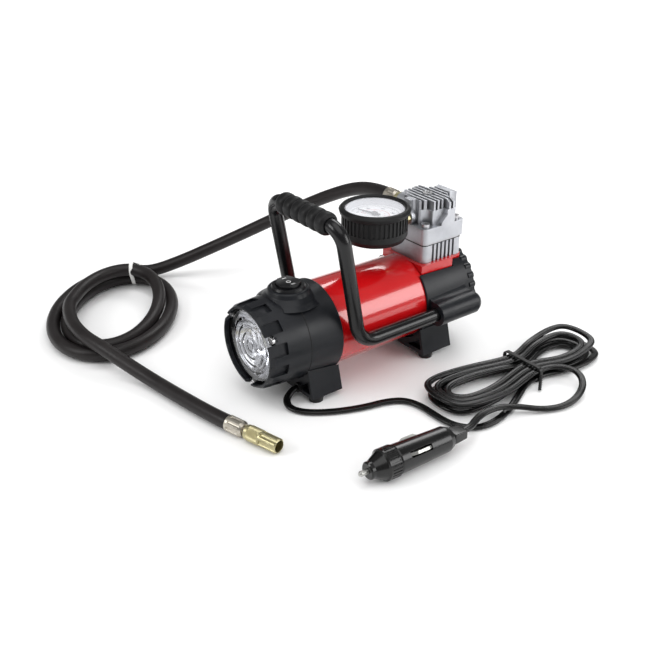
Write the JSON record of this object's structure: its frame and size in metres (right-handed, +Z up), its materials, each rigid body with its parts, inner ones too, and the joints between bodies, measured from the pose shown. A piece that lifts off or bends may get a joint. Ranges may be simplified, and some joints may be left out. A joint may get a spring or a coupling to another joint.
{
  "type": "portable tire inflator",
  "caption": "Single-cylinder 12 V air compressor with front work lamp, bail handle, top gauge, coiled hose with screw chuck, and a car power plug on a bundled cord.",
  "frame": {"origin": "on the floor, under the middle of the inflator without its hose, cord and plug", "axes": "+Z up, +Y along the body's axis from the lamp to the rear cover, +X to the side with the plug"},
  "size_m": [0.381, 0.325, 0.1337],
  "materials": {
    "housing_plastic": "satin moulded black",
    "lens_clear": "clear moulded lens with rings",
    "reflector_bright": "vacuum-plated bowl",
    "led_board": "lamp board",
    "screw_chrome": "bright plated",
    "switch_black": "glossy black",
    "red_paint": "glossy red",
    "magnet_ferrite": "dull ferrite",
    "core_steel": "stacked sheets",
    "copper_wire": "enamelled copper",
    "brush_board": "resin board",
    "carbon": "carbon",
    "gear_steel": "hobbed steel",
    "cast_aluminium": "blasted casting",
    "liner_steel": "honed bore",
    "gasket_fibre": "fibre sheet",
    "screw_steel": "zinc plated",
    "handle_black": "gloss black",
    "black_rubber": "matte black",
    "gauge_metal": "pressed case",
    "dial_card": "white dial",
    "needle_black": "black",
    "gauge_clear": "clear",
    "fitting_brass": "turned brass",
    "ferrule_nickel": "nickel plated",
    "hose_rubber": "matte black",
    "tie_white": "white nylon",
    "tie_black": "black",
    "cord_black": "satin black",
    "plug_black": "satin black",
    "contact_nickel": "nickel plated"
  },
  "bodies": {
    "base": {"lamp_housing": "housing_plastic", "lamp_lens": "lens_clear", "lamp_reflector": "reflector_bright", "led_module": "led_board", "lens_screws": "screw_chrome", "front_housing": "housing_plastic", "switch_bezel": "switch_black", "motor_tube": "red_paint", "motor_magnets": "magnet_ferrite", "motor_bearings": "core_steel", "brush_plate": "brush_board", "carbon_brushes": "carbon", "crankcase": "red_paint", "cylinder_block": "cast_aluminium", "cylinder_liner": "liner_steel", "head_gasket": "gasket_fibre", "valve_plate": "gear_steel", "cylinder_head": "cast_aluminium", "head_screws": "screw_steel", "rear_cover": "housing_plastic", "rear_cover_screws": "screw_steel", "handle_tube": "handle_black", "handle_grip": "black_rubber", "foot_saddles": "housing_plastic", "foot_pads": "black_rubber", "cord_gland": "black_rubber", "gauge_boot": "black_rubber", "gauge_case": "gauge_metal", "gauge_dial": "dial_card", "gauge_glass": "gauge_clear", "gauge_stem": "fitting_brass", "hose_fitting": "fitting_brass", "hose_ferrule": "ferrule_nickel", "air_hose_lead": "hose_rubber", "air_hose_coil": "hose_rubber", "air_hose_tail": "hose_rubber", "chuck_ferrule": "ferrule_nickel", "hose_tie": "tie_white", "power_cord_lead": "cord_black", "power_cord_hank": "cord_black", "power_cord_tail": "cord_black", "hank_tie": "tie_black", "plug_cap": "plug_black", "plug_body": "plug_black", "plug_relief": "plug_black"},
    "rocker": {"switch_rocker": "switch_black"},
    "armature": {"armature_core": "core_steel", "armature_windings": "copper_wire", "commutator": "copper_wire", "motor_shaft": "core_steel", "drive_pinion": "gear_steel"},
    "crank": {"crank_gear": "gear_steel"},
    "piston": {"piston": "cast_aluminium", "gudgeon_pin": "gear_steel"},
    "rod": {"connecting_rod": "cast_aluminium"},
    "needle": {"gauge_needle": "needle_black"},
    "chuck": {"tire_chuck": "fitting_brass"},
    "plug_pin": {"plug_tip": "contact_nickel"},
    "contact_left": {"plug_contact_left": "contact_nickel"},
    "contact_right": {"plug_contact_right": "contact_nickel"}
  },
  "joints": [
    {"name": "rocker_tip", "type": "hinge", "parent": "base", "child": "rocker", "pos_m": [0, -0.057, 0.0776], "axis": [0, 1, 0], "range_deg": [-12, 12]},
    {"name": "armature_spin", "type": "hinge", "parent": "base", "child": "armature", "pos_m": [0, 0, 0.042], "axis": [0, 1, 0], "continuous": true},
    {"name": "crank_spin", "type": "hinge", "parent": "base", "child": "crank", "pos_m": [0, 0.05, 0.028], "axis": [0, 1, 0], "continuous": true},
    {"name": "piston_slide", "type": "slide", "parent": "base", "child": "piston", "axis": [0, 0, 1], "range_m": [-0.014, 0]},
    {"name": "rod_swing", "type": "hinge", "parent": "piston", "child": "rod", "pos_m": [0, 0.067, 0.0775], "axis": [0, 1, 0], "range_deg": [-9, 9]},
    {"name": "needle_turn", "type": "hinge", "parent": "base", "child": "needle", "pos_m": [0, 0.0175, 0.111], "axis": [0, 0, 1], "range_deg": [-270, 0], "stiffness_Nm_per_rad": 0.00002},
    {"name": "chuck_spin", "type": "hinge", "parent": "base", "child": "chuck", "pos_m": [0.0225, -0.1222, 0.0058], "axis": [0.9681, 0.2504, 0], "continuous": true},
    {"name": "plug_tip_push", "type": "slide", "parent": "base", "child": "plug_pin", "axis": [0.0523, 0.9986, 0], "range_m": [0, 0.003], "stiffness_N_per_m": 600},
    {"name": "contact_left_push", "type": "slide", "parent": "base", "child": "contact_left", "axis": [0.818, -0.0429, -0.5736], "range_m": [0, 0.0014], "stiffness_N_per_m": 600},
    {"name": "contact_right_push", "type": "slide", "parent": "base", "child": "contact_right", "axis": [-0.818, 0.0429, -0.5736], "range_m": [0, 0.0014], "stiffness_N_per_m": 600}
  ],
  "couplings": [
    {"joint": "crank_spin", "follows": "armature_spin", "ratio": -0.25}
  ]
}
